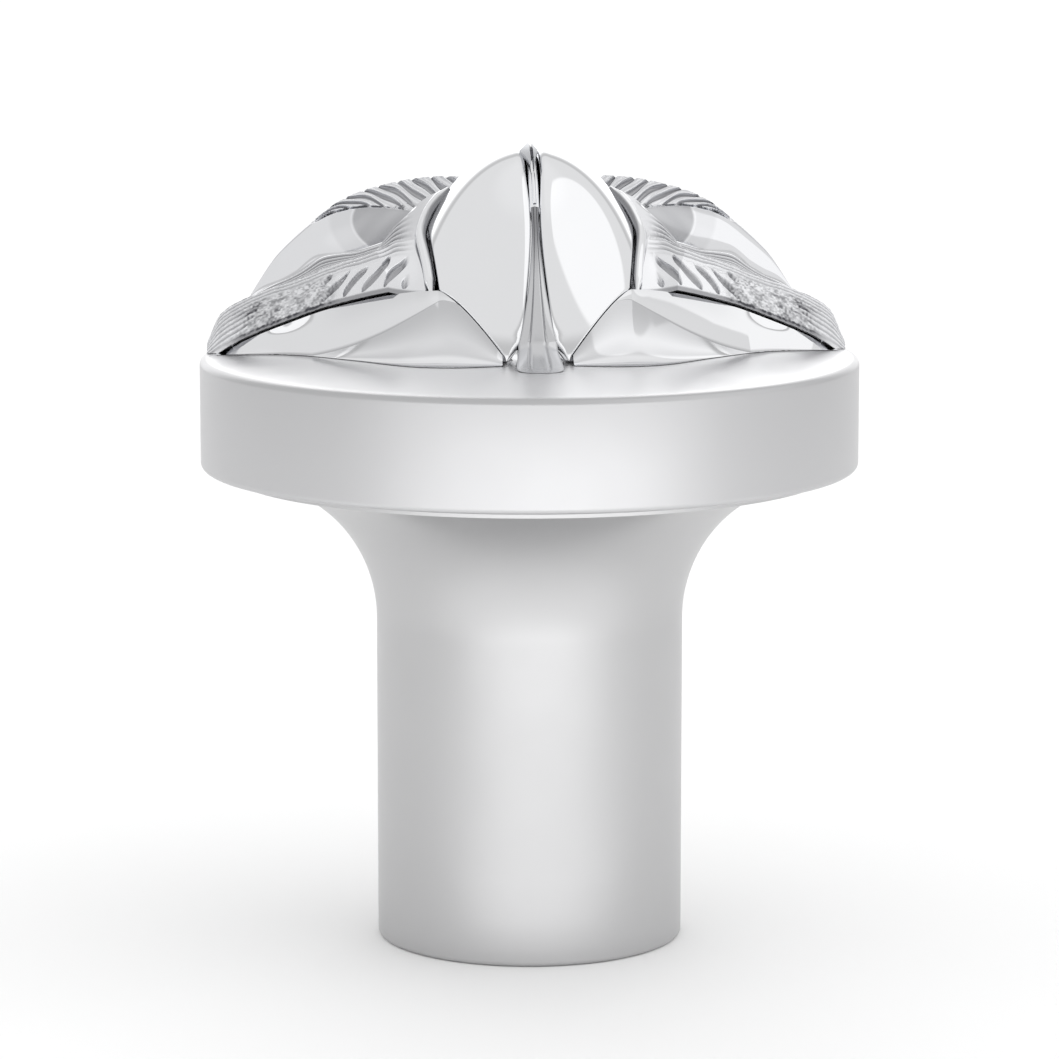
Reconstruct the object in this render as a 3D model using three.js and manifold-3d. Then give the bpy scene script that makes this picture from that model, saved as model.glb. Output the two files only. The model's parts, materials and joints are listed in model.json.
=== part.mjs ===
// A polished metal hood ornament: a four-winged, split-dome sculpture on a round plinth disc, carried by a
// flared round stem. Millimetres, +Z up. The origin is the centre of the stem's flat foot, -Y is the front.
import * as THREE from "three";
import { ParametricGeometry } from "three/addons/geometries/ParametricGeometry.js";
import { mergeVertices } from "three/addons/utils/BufferGeometryUtils.js";
import Module from "manifold-3d";

const wasm = await Module();
wasm.setup();

// ---------------------------------------------------------------- driving dimensions

// Clearance between two pieces that touch on the real object.
const seam = 0.3;

// Stem: a hollow turned column that flares into the disc's underside.
const stemLength = 47.1;
const stemRadius = 15.2;
const flareRadius = 14.6;
const flareLip = 0.4;
const footChamfer = 0.5;
const nutPocketRadius = 10;
const nutPocketDepth = 22;
const plugThickness = 6;

// Plinth disc: turned, with a slightly crowned top.
const discRadius = 32.5;
const discHeight = 10.8;
const crownRise = 1;
const discEdge = 0.6;

// Dome: half an ellipsoid that stands on the disc's top plane, split into two shells by a slot.
const domeHalfWidth = 12.9;
const domeHalfDepth = 13.6;
const domeHeight = 20.9;
const shellThickness = 1.2;
const slotTipHalfWidth = 3;
const slotWaistHalfWidth = 0.5;
const slotDepth = 1.2;
const shellTipMuDegrees = 3.6;
const shoulderMuDegrees = 31;
const shoulderLambdaDegrees = 46.5;
const sideLambdaDegrees = 52.5;
const slotClosedDegrees = 100;

// Wings: their reach is kept inside the disc's rim.
const rimInset = 0.5;
const wingInset = 0.7;
const rearWingInset = 2.7;
const wingSweep = 12.2;
const wingFrontSetback = 4.6;
const wingLipThickness = 0.3;
const rearCrestSetback = 3.6;
const beadRadius = 0.55;

// Wing sections: how far the crest and back lines run behind the lip at the root and the tip, how far the
// ribbed face bulges, and how far the top dips.
const rootInset = 4.4;
const crestSetbackRoot = 3.2;
const crestSetbackTip = 2;
const backSetbackRoot = 7.2;
const backSetbackTip = 4;
const faceBulge = 0.5;
const topDip = 0.4;
const lipChamfer = 0.5;

// Rear wings: where the crest and the rounded back run, and how far the cup's floor lies below its edges.
const rearCrestDrift = 0.8;
const rearBackRoot = 3;
const rearBackTip = -1.2;
const cupFloorDrop = 0.9;
const leastCrestRise = 0.3;
const leastCrestRun = 0.5;
const leastBackRun = 1;

// Skirts: their inner edge beside the keel, where they end along the span, and their least sizes.
const skirtKeelGap = 0.6;
const skirtEnd = 0.9;
const skirtLeastHeight = 0.9;
const skirtLeastDepth = 0.6;
const skirtTuck = 0.3;

// How far pieces that stand on the disc reach below its top before they are trimmed to it.
const sunk = 1;

// Keel: where it starts and flares, its reach over the disc, and its widths and depths.
const keelTopDegrees = 48;
const keelFlareDegrees = 8;
const keelFootReach = 5.6;
const keelTopHalfWidth = 0.22;
const keelHalfWidth = 1.2;
const keelFootSpread = 0.4;
const keelRidgeDepth = 0.3;
const keelFaceDepth = 1.2;
const keelFaceShare = 0.7;
const keelFootShare = 0.8;
const keelFootThickness = 0.5;
const grooveDepth = 2.6;

// Slot bar and crest clip: each is a strip with its angles, half width, and near and far depths.
const barStrip = { from: 51, to: 66, halfWidth: 0.28, near: 0.9, far: 2.2 };
const clipStrip = { from: 70, to: 94, halfWidth: 0.25, near: -0.1, far: 2.2 };
const grooveFrom = 49;
const grooveTo = 98;
const grooveSideGap = 0.2;
const grooveNear = 0.5;

// Fasteners: an M8 tie stud with its nut and washers, M4 wing screws and plain dowels.
const studRadius = 4;
const studCoreDepth = 8;
const nutAcrossFlats = 13;
const nutHeight = 6.5;
const flatWasherRadius = 8;
const flatWasherThickness = 1.6;
const lockWasherRadius = 6.5;
const lockWasherThickness = 2;
const studTail = 3;
const screwRadius = 2;
const screwHeadRadius = 3.5;
const screwHeadHeight = 3;
const screwEngagement = 2.2;
const dowelRadius = 1.5;
const dowelHalfLength = 4;
const frontScrewInset = 1;
const frontScrewSetback = 3.6;
const rearScrewSetback = 3.4;
const rearScrewCover = 2.5;
const frontScrewCover = 0.4;
const stemDowelOffset = 3;

// Facets.
const turnedSegments = 52;
const domeSegments = 32;
const smallSegments = 20;
const pinSegments = 16;

// ---------------------------------------------------------------- worked out from the dimensions

const discBottom = stemLength + seam;
const discTop = discBottom + discHeight;
const wingReach = discRadius - wingInset;
const rearReach = discRadius - rearWingInset;
const degree = Math.PI / 180;

// Height of the crowned disc top above its rim plane, at a distance from the axis.
const crownAt = (radius) => crownRise * (1 - (radius / discRadius) ** 2);

// ---------------------------------------------------------------- solids and meshes

// A closed BufferGeometry as a solid with its faces out.
function solidOf(geometry) {
  const bare = geometry.clone();
  bare.deleteAttribute("normal");
  bare.deleteAttribute("uv");
  const merged = mergeVertices(bare, 1e-4);
  const corners = merged.index.array;
  const kept = [];
  for (let i = 0; i < corners.length; i += 3) {
    const [a, b, c] = [corners[i], corners[i + 1], corners[i + 2]];
    if (a !== b && b !== c && c !== a) kept.push(a, b, c);
  }
  const vertProperties = new Float32Array(merged.attributes.position.array);
  const build = (triVerts) =>
    new wasm.Manifold(new wasm.Mesh({ numProp: 3, vertProperties, triVerts }));
  const solid = build(new Uint32Array(kept));
  return solid.volume() > 0 ? solid : build(new Uint32Array(kept.reverse()));
}

function geometryOf(solid) {
  const mesh = solid.getMesh();
  const positions = new Float32Array(mesh.numVert * 3);
  for (let i = 0; i < mesh.numVert; i++) {
    const start = i * mesh.numProp;
    positions.set(mesh.vertProperties.subarray(start, start + 3), i * 3);
  }
  const geometry = new THREE.BufferGeometry();
  geometry.setAttribute("position", new THREE.BufferAttribute(positions, 3));
  geometry.setIndex(new THREE.BufferAttribute(new Uint32Array(mesh.triVerts), 1));
  geometry.computeVertexNormals();
  return geometry;
}

const cut = (solid, ...tools) => tools.reduce((rest, tool) => rest.subtract(tool), solid);

// A closed body swept through closed loops of points: loops[row][column], all of one length.
function loft(loops) {
  const middle = (loop) =>
    loop.reduce((sum, point) => sum.add(point), new THREE.Vector3()).divideScalar(loop.length);
  const cap = (loop) => loop.map(() => middle(loop));
  const rows = [cap(loops[0]), ...loops, cap(loops[loops.length - 1])];
  const columns = loops[0].length;
  const last = rows.length - 1;
  const pick = (u, v, target) => {
    const row = rows[Math.round(v * last)];
    target.copy(row[Math.round(u * columns) % columns]);
  };
  return solidOf(new ParametricGeometry(pick, columns, last));
}

// A turned body from [radius, height] points that close on themselves or on the axis.
function turned(points, segments = turnedSegments) {
  const profile = points.map(([radius, height]) => new THREE.Vector2(radius, height));
  const geometry = new THREE.LatheGeometry(profile, segments);
  geometry.rotateX(Math.PI / 2);
  return solidOf(geometry);
}

// An upright cylinder between two heights.
function post(radius, bottom, top, x = 0, y = 0, segments = smallSegments) {
  const geometry = new THREE.CylinderGeometry(radius, radius, top - bottom, segments);
  geometry.rotateX(Math.PI / 2);
  geometry.translate(x, y, (bottom + top) / 2);
  return solidOf(geometry);
}

// A smooth curve through [where, value] points, read as the value anywhere along it.
function curveThrough(points) {
  const slope = (i) => {
    const before = points[Math.max(i - 1, 0)];
    const after = points[Math.min(i + 1, points.length - 1)];
    return (after[1] - before[1]) / (after[0] - before[0]);
  };
  return (where) => {
    let i = 0;
    while (i < points.length - 2 && where > points[i + 1][0]) i += 1;
    const [x0, y0] = points[i];
    const [x1, y1] = points[i + 1];
    const span = x1 - x0;
    const t = (where - x0) / span;
    const rise = y1 - y0;
    const bendA = slope(i) * span - rise;
    const bendB = rise - slope(i + 1) * span;
    return y0 + rise * t + t * (1 - t) * (bendA * (1 - t) + bendB * t);
  };
}

const steps = (count) => Array.from({ length: count + 1 }, (_, i) => i / count);
const mix = (a, b, t) => a + (b - a) * t;

// ---------------------------------------------------------------- the dome

// A point of the dome: lambda turns out from the middle plane, mu runs from the front (0) over the top (90
// degrees) to the back (180), and lift moves the point off the dome's outer surface.
function domePoint(side, lambda, mu, lift = 0) {
  const x = side * (domeHalfWidth + lift) * Math.sin(lambda);
  const y = -(domeHalfDepth + lift) * Math.cos(lambda) * Math.cos(mu);
  const z = discTop + (domeHeight + lift) * Math.cos(lambda) * Math.sin(mu);
  return new THREE.Vector3(x, y, z);
}

function domeSolid(lift) {
  const geometry = new THREE.SphereGeometry(1, domeSegments, domeSegments / 2);
  geometry.rotateX(Math.PI / 2);
  geometry.scale(domeHalfWidth + lift, domeHalfDepth + lift, domeHeight + lift);
  geometry.translate(0, 0, discTop);
  return solidOf(geometry);
}

// The shells' outline: the outer edge climbs from the pointed tips to a shoulder and runs over the side.
const tipMu = shellTipMuDegrees * degree;
const shoulderMu = shoulderMuDegrees * degree;
const shoulderLambda = shoulderLambdaDegrees * degree;
const sideLambda = sideLambdaDegrees * degree;
const closedMu = slotClosedDegrees * degree;
const tipLambda = Math.asin(slotTipHalfWidth / domeHalfWidth);
const seamLambda = Math.asin(seam / 2 / domeHalfWidth);

function shellOuterLambda(mu) {
  const fromEnd = Math.min(mu, Math.PI - mu);
  if (fromEnd < shoulderMu) {
    return mix(tipLambda, shoulderLambda, (fromEnd - tipMu) / (shoulderMu - tipMu));
  }
  const t = (fromEnd - shoulderMu) / (Math.PI / 2 - shoulderMu);
  return mix(shoulderLambda, sideLambda, Math.sin((t * Math.PI) / 2));
}

// Half width of the slot between the shells, open at the front and closed to a seam behind the top.
const slotHalfWidth = curveThrough([
  [tipMu, slotTipHalfWidth],
  [8 * degree, slotTipHalfWidth * 0.6],
  [20 * degree, slotTipHalfWidth * 0.37],
  [42 * degree, slotWaistHalfWidth],
  [66 * degree, slotWaistHalfWidth * 1.5],
  [92 * degree, slotWaistHalfWidth],
  [closedMu, seam / 2],
]);

function shellInnerLambda(mu) {
  const backTip = Math.PI - tipMu;
  if (mu > closedMu) {
    const t = Math.min((mu - closedMu) / (backTip - closedMu), 1);
    return mix(seamLambda, tipLambda * 0.9, t ** 6);
  }
  return Math.asin(slotHalfWidth(mu) / domeHalfWidth);
}

// One shell, grown all round by a clearance when it is used as a cutter.
function shell(side, grow = 0) {
  const across = steps(6);
  const growAngle = grow / domeHalfWidth;
  const along = steps(26).map((t) => mix(tipMu - growAngle, Math.PI - tipMu + growAngle, t));
  const loops = along.map((mu) => {
    const held = Math.min(Math.max(mu, tipMu), Math.PI - tipMu);
    const inner = shellInnerLambda(held) - growAngle;
    const outer = Math.max(shellOuterLambda(held), inner + 0.02) + growAngle;
    const over = across.map((t) => domePoint(side, mix(inner, outer, t), mu, grow));
    const under = across.map((t) => domePoint(side, mix(outer, inner, t), mu, -shellThickness - grow));
    return [...over, ...under];
  });
  return loft(loops);
}

// The bead that rims each shell's side edge, from the front shoulder to the back one.
function bead(side, grow = 0) {
  const path = steps(10).map((t) => {
    const mu = mix(shoulderMu, Math.PI - shoulderMu, t);
    const beyondEdge = (beadRadius + seam) / domeHalfWidth;
    return domePoint(side, shellOuterLambda(mu) + beyondEdge, mu);
  });
  const section = new THREE.Shape();
  section.absarc(0, 0, beadRadius + grow, 0, 2 * Math.PI);
  const geometry = new THREE.ExtrudeGeometry(section, {
    steps: 18,
    curveSegments: 4,
    bevelEnabled: false,
    extrudePath: new THREE.CatmullRomCurve3(path),
  });
  return solidOf(geometry);
}

// ---------------------------------------------------------------- cutters shared by the sculpture's pieces

const coreLift = -shellThickness - seam;
const coreClearance = domeSolid(coreLift + seam);
const sculptureTop = discTop + 2 * domeHeight;
const rimCylinder = post(wingReach, discTop - seam, sculptureTop, 0, 0, turnedSegments);

const crownArc = steps(5);
const discClearance = turned([
  [0, discBottom],
  [discRadius * 1.5, discBottom],
  [discRadius * 1.5, discTop + seam],
  ...crownArc.map((t) => [discRadius * (1 - t), discTop + seam + crownAt(discRadius * (1 - t))]),
]);

const shellCutters = new Map([-1, 1].map((side) => [side, shell(side, seam)]));
const beadCutters = new Map([-1, 1].map((side) => [side, bead(side, seam)]));

// ---------------------------------------------------------------- the wings and the skirts below them

const wingRoot = domeHalfWidth - rootInset;
const wingFrontAtRoot = -(domeHalfDepth - wingFrontSetback);
const spanAt = (u) => mix(wingRoot, wingReach, u);
const uAt = (distance) => (distance - wingRoot) / (wingReach - wingRoot);
const lipY = (u) => wingFrontAtRoot + wingSweep * u;

// Heights above the disc's rim plane along the span (0 at the dome, 1 at the tip).
const lipHeight = curveThrough([
  [0, 7.9],
  [0.2, 7.3],
  [0.48, 5.5],
  [0.65, 3.9],
  [0.82, 2.1],
  [0.9, 1],
  [1, -0.6],
]);
const crestHeight = curveThrough([
  [0, 13.2],
  [0.19, 12],
  [0.27, 10.9],
  [0.58, 7.9],
  [0.79, 5.9],
  [0.94, 3.8],
  [1, 0.8],
]);
const backHeight = curveThrough([
  [0, 13],
  [0.15, 12],
  [0.37, 10.3],
  [0.51, 9.7],
  [0.61, 8.1],
  [0.8, 5.6],
  [0.94, 3],
  [1, 0.4],
]);
const crestY = (u) => lipY(u) + mix(crestSetbackRoot, crestSetbackTip, u);
const backY = (u) => lipY(u) + mix(backSetbackRoot, backSetbackTip, u);

// A front wing, grown at its lip, underside and back when it is used as a cutter.
function frontWing(side, grow = 0) {
  const loops = steps(16).map((u) => {
    const x = side * spanAt(u);
    const at = (y, height) => new THREE.Vector3(x, y, discTop + height);
    const underside = lipHeight(u) - wingLipThickness - grow;
    const lip = lipY(u) - grow;
    const face = steps(4).map((t) => {
      const bulge = faceBulge * Math.sin(Math.PI * t);
      return at(mix(lip, crestY(u), t) - bulge, mix(lipHeight(u), crestHeight(u), t) + bulge + grow);
    });
    const back = backY(u) + grow;
    const top = steps(4).map((t) => {
      const dip = topDip * Math.sin(Math.PI * t);
      return at(mix(crestY(u), back, t), mix(crestHeight(u), backHeight(u), t) - dip + grow);
    });
    return [...face, ...top.slice(1), at(back, underside), at(lip + lipChamfer, underside)];
  });
  return loft(loops).intersect(rimCylinder);
}

// The smooth flank below a front wing: its foot line on the disc and its top line under the wing's lip.
const skirtInner = slotTipHalfWidth + skirtKeelGap;
const footY = curveThrough([
  [0, -14.6],
  [0.17, -15],
  [0.33, -13.4],
  [0.52, -8],
  [0.72, -2.2],
  [0.86, -0.2],
  [1, 1.4],
]);

// Height and depth of the shells' lower outer edge at a distance from the middle plane.
function shellEdge(distance) {
  const lambda = Math.asin(distance / domeHalfWidth);
  const mu = tipMu + ((lambda - tipLambda) * (shoulderMu - tipMu)) / (shoulderLambda - tipLambda);
  return {
    y: -domeHalfDepth * Math.cos(lambda) * Math.cos(mu),
    height: domeHeight * Math.cos(lambda) * Math.sin(mu),
  };
}

function skirt(side) {
  const shoulderX = domeHalfWidth * Math.sin(shoulderLambda);
  const outerEnd = spanAt(skirtEnd);
  const loops = steps(15).map((t) => {
    const distance = mix(skirtInner, outerEnd, t);
    const u = uAt(distance);
    const x = side * distance;
    const at = (y, height) => new THREE.Vector3(x, y, discTop + height);
    const edge = distance < shoulderX ? shellEdge(distance) : { y: lipY(u), height: lipHeight(u) };
    const lower = distance < shoulderX ? seam : wingLipThickness + seam;
    const top = Math.max(edge.height - lower, skirtLeastHeight);
    const foot = footY(t);
    const footTop = crownAt(distance) + skirtTuck;
    const lip = edge.y + skirtTuck;
    const flank = steps(6).map((k) => {
      const dished = 1 - Math.cos(Math.sin((k * Math.PI) / 2) * (Math.PI / 2));
      return at(mix(foot, lip, k), mix(footTop, top, mix(k, dished, 0.5)));
    });
    const back = Math.max(backY(Math.max(u, 0)), lip + skirtLeastDepth);
    return [at(foot, -sunk), ...flank, at(back, top), at(back, -sunk)];
  });
  return loft(loops);
}

// Rear wings: a cupped front, a crest line and a rounded back.
const rearRoot = seam / 2;
const rearSpanAt = (v) => mix(rearRoot, rearReach, v);
const rearCrestHeight = curveThrough([
  [0, 15.4],
  [0.22, 16.7],
  [0.35, 16.6],
  [0.46, 16],
  [0.57, 15],
  [0.67, 13.3],
  [0.82, 9.4],
  [0.9, 6],
  [1, 0.8],
]);
const rearCrestY = (v) => domeHalfDepth - rearCrestSetback + rearCrestDrift * v;
const rearBackY = (v) => domeHalfDepth + mix(rearBackRoot, rearBackTip, v);

function rearWing(side) {
  const loops = steps(18).map((v) => {
    const distance = rearSpanAt(v);
    const u = Math.max(uAt(distance), 0);
    const x = side * distance;
    const at = (y, height) => new THREE.Vector3(x, y, discTop + height);
    const crest = rearCrestHeight(v);
    const crestAt = rearCrestY(v);
    const front = Math.min(backY(u) + seam, crestAt - leastCrestRun);
    const floor = Math.min(backHeight(u) - cupFloorDrop, crest - leastCrestRise);
    const cup = steps(5).map((t) => {
      const angle = (t * Math.PI) / 2;
      return at(mix(front, crestAt, Math.sin(angle)), mix(crest, floor, Math.cos(angle)));
    });
    const backAt = Math.max(rearBackY(v), crestAt + leastBackRun);
    const round = steps(5).slice(1).map((t) => {
      const angle = (t * Math.PI) / 2;
      return at(mix(crestAt, backAt, Math.sin(angle)), mix(-sunk, crest, Math.cos(angle)));
    });
    return [at(front, -sunk), ...cup, ...round];
  });
  return loft(loops).intersect(rimCylinder);
}

// ---------------------------------------------------------------- the pieces in the slot

// Place on the middle plane, at an angle mu and a depth below the dome's outer surface.
const middlePoint = (mu, depth, x = 0) => {
  const point = domePoint(1, 0, mu, -depth);
  return new THREE.Vector3(x, point.y, point.z);
};

const keelTopMu = keelTopDegrees * degree;
const keelFlareMu = keelFlareDegrees * degree;

// The keel rib: a wedge in the slot that widens downwards and flares out onto the disc.
function keel(grow = 0) {
  const wall = (t) => mix(keelTopHalfWidth, keelHalfWidth, t ** 1.5) + grow;
  const upper = steps(14).map((t) => {
    const mu = mix(keelTopMu + grow / domeHalfDepth, keelFlareMu, t);
    const half = wall(t);
    return [
      middlePoint(mu, keelRidgeDepth - grow, 0),
      middlePoint(mu, keelFaceDepth, half * keelFaceShare),
      middlePoint(mu, grooveDepth + grow, half),
      middlePoint(mu, grooveDepth + grow, -half),
      middlePoint(mu, keelFaceDepth, -half * keelFaceShare),
    ];
  });
  const flared = steps(6).slice(1).map((t) => {
    const y = -domeHalfDepth - keelFootReach * t;
    const height = mix(grooveDepth, crownAt(-y) + seam + keelFootThickness, 1 - (1 - t) ** 2);
    const half = mix(keelHalfWidth, keelHalfWidth + keelFootSpread, t) + grow;
    const inner = -domeHalfDepth + grooveDepth - (keelFootReach - keelFootThickness) * t;
    const ridge = discTop + height + grow;
    const base = discTop - keelFootThickness;
    return [
      new THREE.Vector3(0, y, ridge),
      new THREE.Vector3(half * keelFootShare, y, ridge - keelRidgeDepth),
      new THREE.Vector3(half, inner - 1, base),
      new THREE.Vector3(-half, inner - 1, base),
      new THREE.Vector3(-half * keelFootShare, y, ridge - keelRidgeDepth),
    ];
  });
  return loft([...upper, ...flared]);
}

// A narrow strip on the middle plane between two angles in degrees, from a near depth to a far one.
function slotStrip(strip, grow = 0) {
  const reach = grow / domeHalfDepth;
  const half = strip.halfWidth + grow;
  const middle = (strip.near + strip.far) / 2;
  const loops = steps(8).map((t) => {
    const mu = mix(strip.from * degree - reach, strip.to * degree + reach, t);
    return [
      middlePoint(mu, strip.near - grow, half / 2),
      middlePoint(mu, middle, half),
      middlePoint(mu, strip.far + grow, half),
      middlePoint(mu, strip.far + grow, -half),
      middlePoint(mu, middle, -half),
      middlePoint(mu, strip.near - grow, -half / 2),
    ];
  });
  return loft(loops);
}

// The groove in the core below the slot.
const coreGroove = slotStrip({
  from: grooveFrom,
  to: grooveTo,
  halfWidth: slotWaistHalfWidth + grooveSideGap,
  near: grooveNear,
  far: shellThickness + slotDepth + seam,
});

// ---------------------------------------------------------------- fasteners

const discMiddle = (discBottom + discTop) / 2;
const bossX = mix(domeHalfWidth, discRadius, 0.3);
const frontBossX = bossX - frontScrewInset;
const frontScrew = { x: frontBossX, y: lipY(uAt(frontBossX)) + frontScrewSetback };
const rearScrew = { x: bossX, y: domeHalfDepth - rearScrewSetback };
const frontScrewTop = discTop + lipHeight(uAt(frontScrew.x)) + screwEngagement - frontScrewCover;
const rearScrewTop = discTop + backHeight(uAt(rearScrew.x)) - rearScrewCover;

function screw(spot, side, top, grow = 0) {
  const [x, y] = [side * spot.x, spot.y];
  const shank = post(screwRadius + grow, discBottom + seam, top + grow, x, y, pinSegments);
  const headBottom = discBottom + seam - (grow > 0 ? 2 * seam : 0);
  const headTop = discBottom + seam + screwHeadHeight + grow;
  return shank.add(post(screwHeadRadius + grow, headBottom, headTop, x, y));
}

const studTop = discTop + studCoreDepth;
const nutSeat = nutPocketDepth - seam;
const washerBottom = nutSeat - flatWasherThickness;
const lockTop = washerBottom - seam;
const lockBottom = lockTop - lockWasherThickness;
const nutTop = lockBottom - seam;
const nutBottom = nutTop - nutHeight;
const studBottom = nutBottom - studTail;
const studHole = (bottom, top) => post(studRadius + seam, bottom, top);

const dowelPlace = domeHalfWidth * 0.6;
function dowel(x, y, middle, grow = 0) {
  const half = dowelHalfLength + grow;
  return post(dowelRadius + grow, middle - half, middle + half, x, y, pinSegments);
}
const stemDowelPlace = (stemRadius + nutPocketRadius) / 2 + stemDowelOffset;

function ring(radius, bottom, top) {
  return cut(post(radius, bottom, top), studHole(bottom - 1, top + 1));
}

function hexNut() {
  const cornerRadius = nutAcrossFlats / 2 / Math.cos(Math.PI / 6);
  const blank = post(cornerRadius, nutBottom, nutTop, 0, 0, 6);
  return cut(blank, studHole(nutBottom - 1, nutTop + 1));
}

// ---------------------------------------------------------------- turned pieces

const quarter = (count) => steps(count).map((t) => (t * Math.PI) / 2);

function stem() {
  const flareBase = stemLength - flareLip - flareRadius;
  const flare = quarter(7).map((angle) => [
    stemRadius + flareRadius * (1 - Math.cos(angle)),
    flareBase + flareRadius * Math.sin(angle),
  ]);
  const bore = studRadius + seam;
  const body = turned([
    [nutPocketRadius, 0],
    [stemRadius - footChamfer, 0],
    [stemRadius, footChamfer],
    ...flare,
    [stemRadius + flareRadius, stemLength],
    [bore, stemLength],
    [bore, nutPocketDepth],
    [nutPocketRadius, nutPocketDepth],
    [nutPocketRadius, 0],
  ]);
  return cut(body, dowel(0, stemDowelPlace, discBottom, seam));
}

function plinthDisc() {
  const bore = studRadius + seam;
  const lowerEdge = quarter(3).map((angle) => [
    discRadius - discEdge * (1 - Math.sin(angle)),
    discBottom + discEdge * (1 - Math.cos(angle)),
  ]);
  const upperEdge = quarter(3).map((angle) => [
    discRadius - discEdge * (1 - Math.cos(angle)),
    discTop - discEdge * (1 - Math.sin(angle)),
  ]);
  const flatStart = discRadius - discEdge;
  const crown = crownArc.slice(1).map((t) => {
    const radius = mix(flatStart, bore, t);
    return [radius, discTop + crownAt(radius)];
  });
  const body = turned([[bore, discBottom], ...lowerEdge, ...upperEdge, ...crown, [bore, discBottom]]);
  const holes = [-1, 1].flatMap((side) => [
    dowel(side * dowelPlace, 0, discTop + crownRise, seam),
    screw(frontScrew, side, frontScrewTop, seam),
    screw(rearScrew, side, rearScrewTop, seam),
  ]);
  return cut(body, dowel(0, stemDowelPlace, discBottom, seam), ...holes);
}

function footPlug() {
  return turned([
    [0, 0],
    [nutPocketRadius - seam, 0],
    [nutPocketRadius - seam, plugThickness],
    [0, plugThickness],
  ]);
}

function domeCore() {
  const dome = domeSolid(coreLift).intersect(rimCylinder);
  const slotPieces = [keel(seam), slotStrip(barStrip, seam), slotStrip(clipStrip, seam)];
  const blank = cut(dome, discClearance, coreGroove, ...slotPieces);
  const dowels = [-1, 1].map((side) => dowel(side * dowelPlace, 0, discTop + crownRise, seam));
  return cut(blank, studHole(discTop - 1, studTop + seam), ...dowels);
}

// ---------------------------------------------------------------- materials

const finish = (color, roughness) => new THREE.MeshStandardMaterial({ color, roughness, metalness: 1 });
const satinSteel = finish(0xd6d7d8, 0.35);
const polishedChrome = finish(0xe6e8ec, 0.08);
const ribbedChrome = finish(0xc9ccd2, 0.28);
const darkenedSteel = finish(0x55585e, 0.4);
const zincSteel = finish(0xb4b8bd, 0.45);

// ---------------------------------------------------------------- assembly

const ornament = new THREE.Group();
const addPiece = (name, solid, material) => {
  const mesh = new THREE.Mesh(geometryOf(solid), material);
  mesh.name = name;
  ornament.add(mesh);
};

addPiece("stem", stem(), satinSteel);
addPiece("foot_plug", footPlug(), darkenedSteel);
addPiece("plinth_disc", plinthDisc(), satinSteel);
addPiece("dome_core", domeCore(), polishedChrome);
addPiece("slot_keel", cut(keel(), discClearance), polishedChrome);
addPiece("slot_bar", slotStrip(barStrip), polishedChrome);
addPiece("crest_clip", slotStrip(clipStrip), darkenedSteel);

addPiece("tie_stud", post(studRadius, studBottom, studTop), zincSteel);
addPiece("stem_nut", hexNut(), zincSteel);
addPiece("lock_washer", ring(lockWasherRadius, lockBottom, lockTop), zincSteel);
addPiece("flat_washer", ring(flatWasherRadius, washerBottom, nutSeat), zincSteel);
addPiece("stem_dowel", dowel(0, stemDowelPlace, discBottom), zincSteel);

for (const [side, word] of [[-1, "left"], [1, "right"]]) {
  const domeCutters = [coreClearance, shellCutters.get(side), beadCutters.get(side), discClearance];
  const wingClearance = frontWing(side, seam);
  const frontHole = screw(frontScrew, side, frontScrewTop, seam);
  const rearHole = screw(rearScrew, side, rearScrewTop, seam);
  addPiece(`${word}_shell`, cut(shell(side), discClearance), polishedChrome);
  addPiece(`${word}_rim_bead`, bead(side), polishedChrome);
  addPiece(`front_${word}_wing`, cut(frontWing(side), ...domeCutters, frontHole), ribbedChrome);
  addPiece(`rear_${word}_wing`, cut(rearWing(side), ...domeCutters, wingClearance, rearHole), ribbedChrome);
  const skirtCutters = [...domeCutters, wingClearance, keel(seam), frontHole];
  addPiece(`${word}_skirt`, cut(skirt(side), ...skirtCutters), polishedChrome);
  addPiece(`core_dowel_${word}`, dowel(side * dowelPlace, 0, discTop + crownRise), zincSteel);
  addPiece(`wing_screw_front_${word}`, screw(frontScrew, side, frontScrewTop), zincSteel);
  addPiece(`wing_screw_rear_${word}`, screw(rearScrew, side, rearScrewTop), zincSteel);
}

export default ornament;
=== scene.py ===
# The looks of a winged-dome hood ornament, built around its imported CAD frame. Lengths are millimetres until
# a mesh is made, apart from the floor and the lights, which are in metres. Z is up and the front faces -Y.
import json
import math

import bmesh
import bpy
import numpy as np
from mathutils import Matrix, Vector


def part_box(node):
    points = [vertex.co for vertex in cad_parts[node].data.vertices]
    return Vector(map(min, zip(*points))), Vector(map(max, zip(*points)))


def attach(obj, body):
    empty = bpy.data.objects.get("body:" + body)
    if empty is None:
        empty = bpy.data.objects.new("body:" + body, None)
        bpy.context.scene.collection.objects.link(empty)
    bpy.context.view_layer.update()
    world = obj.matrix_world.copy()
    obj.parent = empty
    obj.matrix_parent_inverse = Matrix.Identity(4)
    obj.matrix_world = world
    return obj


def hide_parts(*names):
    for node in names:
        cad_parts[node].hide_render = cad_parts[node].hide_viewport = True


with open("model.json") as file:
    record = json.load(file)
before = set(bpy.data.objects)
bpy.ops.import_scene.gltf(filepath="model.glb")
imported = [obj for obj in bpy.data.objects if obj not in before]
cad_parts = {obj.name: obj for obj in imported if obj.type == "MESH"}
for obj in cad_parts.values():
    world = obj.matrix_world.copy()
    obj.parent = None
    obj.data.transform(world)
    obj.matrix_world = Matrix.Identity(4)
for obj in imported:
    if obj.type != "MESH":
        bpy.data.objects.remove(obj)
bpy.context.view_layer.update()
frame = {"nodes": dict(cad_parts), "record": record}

MM = 0.001


def box_mm(node):
    """A CAD node's lowest and highest corners in millimetres."""
    low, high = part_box(node)
    return np.array(low) / MM, np.array(high) / MM


# ------------------------------------------------------------------ sizes

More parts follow.
